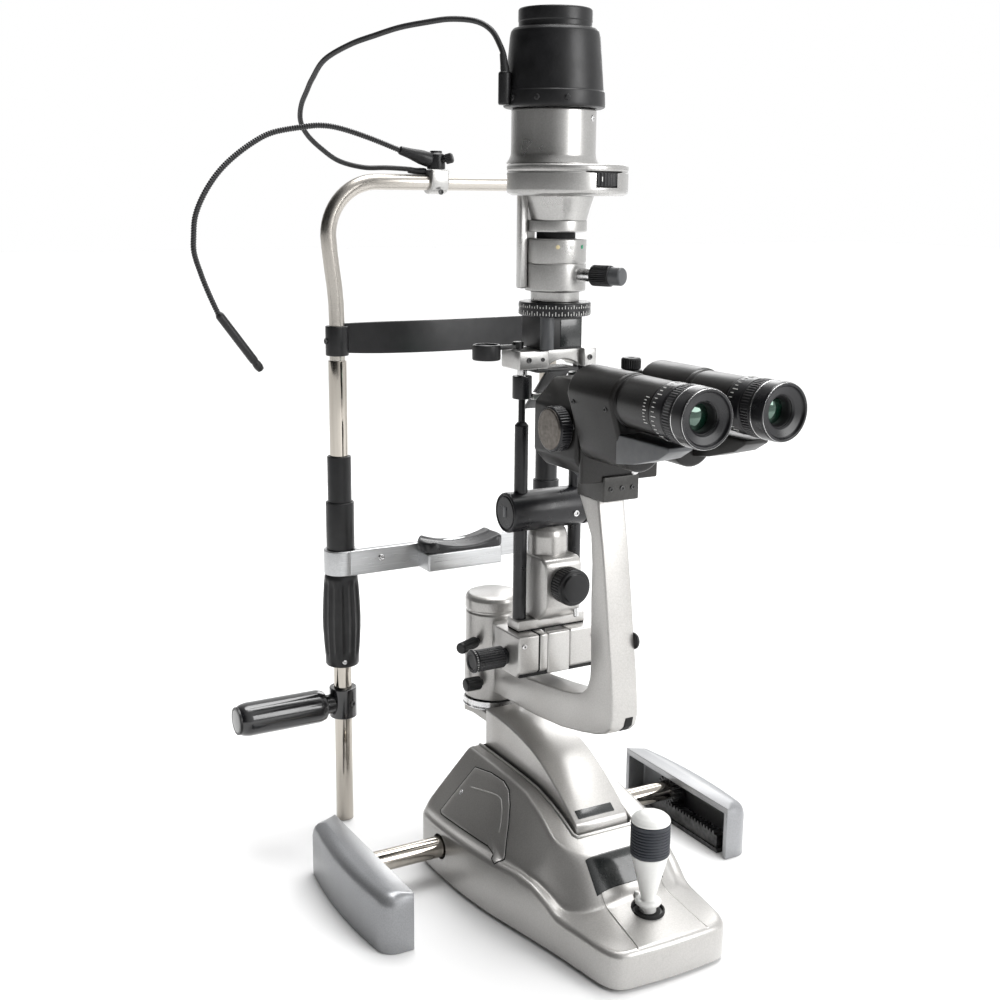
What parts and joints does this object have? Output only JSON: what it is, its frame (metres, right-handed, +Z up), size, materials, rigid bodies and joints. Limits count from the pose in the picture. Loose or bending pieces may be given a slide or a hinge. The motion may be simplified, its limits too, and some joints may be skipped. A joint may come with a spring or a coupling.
{
  "type": "slit lamp",
  "caption": "Desk-top eye examination microscope with a swinging slit illuminator on a joystick-driven sliding base, with a patient chin and forehead rest",
  "frame": {"origin": "on the table plane, in the middle plane, under the cross axle at rest", "axes": "+X to the operator's right along the axle, +Y towards the patient, +Z up"},
  "size_m": [0.4142, 0.4429, 0.7047],
  "materials": {
    "silver_paint": "metallic silver paint",
    "satin_metal": "satin",
    "chrome": "polished",
    "satin_tube": "satin champagne",
    "brushed_aluminium": "brushed",
    "dark_steel": "dark",
    "black_plastic": "satin black",
    "gloss_black": "gloss black",
    "black_paint": "satin black",
    "black_rubber": "ribbed",
    "white_plastic": "smooth",
    "mirror_glass": "silvered",
    "lamp_glass": "clear"
  },
  "bodies": {
    "stand": {"left_rail_cover": "silver_paint", "right_rail_cover": "silver_paint", "rack_plates": "dark_steel", "headrest_posts": "chrome", "post_sleeves": "black_plastic", "headrest_bow": "satin_tube", "forehead_band": "black_plastic", "handle_hub": "gloss_black", "handle_grip": "gloss_black", "lamp_clamp": "satin_metal", "lamp_cable": "black_rubber"},
    "chin_rest": {"chin_bracket": "brushed_aluminium", "chin_collars": "black_plastic", "chin_cup": "black_plastic"},
    "chin_height_grip": {"height_grip": "black_plastic"},
    "fixation_lamp": {"fixation_joint": "black_plastic", "gooseneck": "black_plastic", "fixation_wand": "black_plastic"},
    "carriage": {"axle_guides": "dark_steel"},
    "rolling_axle": {"axle": "chrome", "toothed_wheels": "black_plastic"},
    "base": {"base_shell": "silver_paint", "base_plate": "dark_steel", "lift_guide": "dark_steel"},
    "joystick_fork": {"joystick_gimbal": "dark_steel"},
    "joystick": {"joystick_cone": "white_plastic"},
    "joystick_grip": {"joystick_sleeve": "black_rubber", "joystick_cap": "white_plastic"},
    "lift": {"wedge_cover": "silver_paint", "swivel_post": "dark_steel"},
    "microscope": {"microscope_arm": "silver_paint", "microscope_bracket": "satin_metal", "microscope_body": "black_paint"},
    "microscope_lock": {"microscope_lock_knob": "black_plastic"},
    "magnification": {"magnification_knobs": "black_paint"},
    "left_eyepiece": {"left_barrel": "black_paint"},
    "right_eyepiece": {"right_barrel": "black_paint"},
    "left_dioptre": {"left_dioptre_ring": "black_paint"},
    "right_dioptre": {"right_dioptre_ring": "black_paint"},
    "binocular_clamp": {"binocular_screw": "black_plastic"},
    "lamp_arm": {"illumination_arm": "silver_paint"},
    "lamp_lock": {"lamp_lock_knob": "black_plastic"},
    "lamp_unit": {"cross_block": "silver_paint", "lamp_columns": "black_paint", "cross_cylinder": "black_paint", "tower": "silver_paint", "yoke": "satin_metal", "mirror": "mirror_glass", "prism_box": "black_paint", "dial_ring": "black_paint", "filter_disc": "satin_metal", "lamp_housing": "satin_metal", "lamp_cap": "black_plastic", "bulb": "lamp_glass"},
    "slit_width": {"slit_knobs": "black_plastic"},
    "centring": {"centring_knob": "black_plastic"},
    "slit_head": {"slit_cylinder": "satin_metal", "slit_lever": "black_paint"},
    "filters": {"filter_wheel": "black_paint"},
    "diffuser_flap": {"diffuser": "black_plastic"}
  },
  "joints": [
    {"name": "base_forward", "type": "slide", "parent": "stand", "child": "carriage", "axis": [0, 1, 0], "range_m": [-0.06, 0.02]},
    {"name": "axle_roll", "type": "hinge", "parent": "carriage", "child": "rolling_axle", "pos_m": [0, 0, 0.029], "axis": [1, 0, 0], "range_deg": [-97, 289.5]},
    {"name": "base_sideways", "type": "slide", "parent": "carriage", "child": "base", "axis": [1, 0, 0], "range_m": [-0.052, 0.052]},
    {"name": "lift_height", "type": "slide", "parent": "base", "child": "lift", "axis": [0, 0, 1], "range_m": [-0.015, 0.015]},
    {"name": "joystick_tilt_forward", "type": "hinge", "parent": "base", "child": "joystick_fork", "pos_m": [0, -0.185, 0.0335], "axis": [1, 0, 0], "range_deg": [-11, 11]},
    {"name": "joystick_tilt_sideways", "type": "hinge", "parent": "joystick_fork", "child": "joystick", "pos_m": [0, -0.185, 0.0335], "axis": [0, 1, 0], "range_deg": [-11, 11]},
    {"name": "joystick_twist", "type": "hinge", "parent": "joystick", "child": "joystick_grip", "pos_m": [0, -0.185, 0.09], "axis": [0, 0, 1], "range_deg": [-541, 541]},
    {"name": "chin_height", "type": "slide", "parent": "stand", "child": "chin_rest", "axis": [0, 0, 1], "range_m": [0, 0.04]},
    {"name": "height_grip_turn", "type": "hinge", "parent": "stand", "child": "chin_height_grip", "pos_m": [-0.107, 0.146, 0.19], "axis": [0, 0, 1], "range_deg": [0, 1441]},
    {"name": "fixation_swing", "type": "hinge", "parent": "stand", "child": "fixation_lamp", "pos_m": [-0.011, 0.146, 0.595], "axis": [0, 0, 1], "range_deg": [-30, 45]},
    {"name": "microscope_swing", "type": "hinge", "parent": "lift", "child": "microscope", "pos_m": [0, 0.0582, 0.15], "axis": [0, 0, 1], "range_deg": [-45, 45]},
    {"name": "microscope_lock_turn", "type": "hinge", "parent": "microscope", "child": "microscope_lock", "pos_m": [-0.025, 0.038, 0.153], "axis": [-1, 0, 0], "range_deg": [0, 90]},
    {"name": "magnification_turn", "type": "hinge", "parent": "microscope", "child": "magnification", "pos_m": [0, -0.108, 0.401], "axis": [1, 0, 0], "continuous": true},
    {"name": "left_eyepiece_spread", "type": "hinge", "parent": "microscope", "child": "left_eyepiece", "pos_m": [-0.022, -0.133, 0.398], "axis": [0, 1, 0], "range_deg": [-13, 8.5]},
    {"name": "right_eyepiece_spread", "type": "hinge", "parent": "microscope", "child": "right_eyepiece", "pos_m": [0.022, -0.133, 0.398], "axis": [0, 1, 0], "range_deg": [-8.5, 13]},
    {"name": "left_dioptre_turn", "type": "hinge", "parent": "left_eyepiece", "child": "left_dioptre", "pos_m": [-0.02829, -0.188, 0.431], "axis": [-0.0436, -0.999, 0], "range_deg": [-120, 120]},
    {"name": "right_dioptre_turn", "type": "hinge", "parent": "right_eyepiece", "child": "right_dioptre", "pos_m": [0.02829, -0.188, 0.431], "axis": [0.0436, -0.999, 0], "range_deg": [-120, 120]},
    {"name": "binocular_screw_turn", "type": "hinge", "parent": "microscope", "child": "binocular_clamp", "pos_m": [0, -0.1415, 0.45], "axis": [0, 0, 1], "range_deg": [0, 360]},
    {"name": "lamp_swing", "type": "hinge", "parent": "lift", "child": "lamp_arm", "pos_m": [0, 0.0582, 0.19], "axis": [0, 0, 1], "range_deg": [-60, 60], "deforming": ["lamp_cable"]},
    {"name": "lamp_lock_turn", "type": "hinge", "parent": "lamp_arm", "child": "lamp_lock", "pos_m": [0, 0.0582, 0.188], "axis": [-0.8886, -0.4587, 0], "range_deg": [0, 90]},
    {"name": "lamp_tilt", "type": "hinge", "parent": "lamp_arm", "child": "lamp_unit", "pos_m": [0, -0.031, 0.201], "axis": [1, 0, 0], "range_deg": [0, 4]},
    {"name": "slit_width_turn", "type": "hinge", "parent": "lamp_unit", "child": "slit_width", "pos_m": [0, -0.031, 0.201], "axis": [1, 0, 0], "range_deg": [0, 180]},
    {"name": "centring_turn", "type": "hinge", "parent": "lamp_unit", "child": "centring", "pos_m": [0, -0.06, 0.264], "axis": [0, -1, 0], "range_deg": [0, 180]},
    {"name": "slit_rotation", "type": "hinge", "parent": "lamp_unit", "child": "slit_head", "pos_m": [0, -0.036, 0.509], "axis": [0, 0, 1], "range_deg": [-90, 90]},
    {"name": "filter_turn", "type": "hinge", "parent": "lamp_unit", "child": "filters", "pos_m": [0.0012, -0.0597, 0.58], "axis": [0, 0, 1], "range_deg": [0, 300]},
    {"name": "diffuser_swing", "type": "hinge", "parent": "lamp_unit", "child": "diffuser_flap", "pos_m": [-0.03, -0.031, 0.453], "axis": [0, 0, 1], "range_deg": [-45, 0]}
  ],
  "couplings": [
    {"joint": "axle_roll", "follows": "base_forward", "rad_per_m": -84.034},
    {"joint": "joystick_twist", "follows": "lift_height", "rad_per_m": 628.3},
    {"joint": "height_grip_turn", "follows": "chin_height", "rad_per_m": 628.3},
    {"joint": "right_eyepiece_spread", "follows": "left_eyepiece_spread", "ratio": -1}
  ]
}
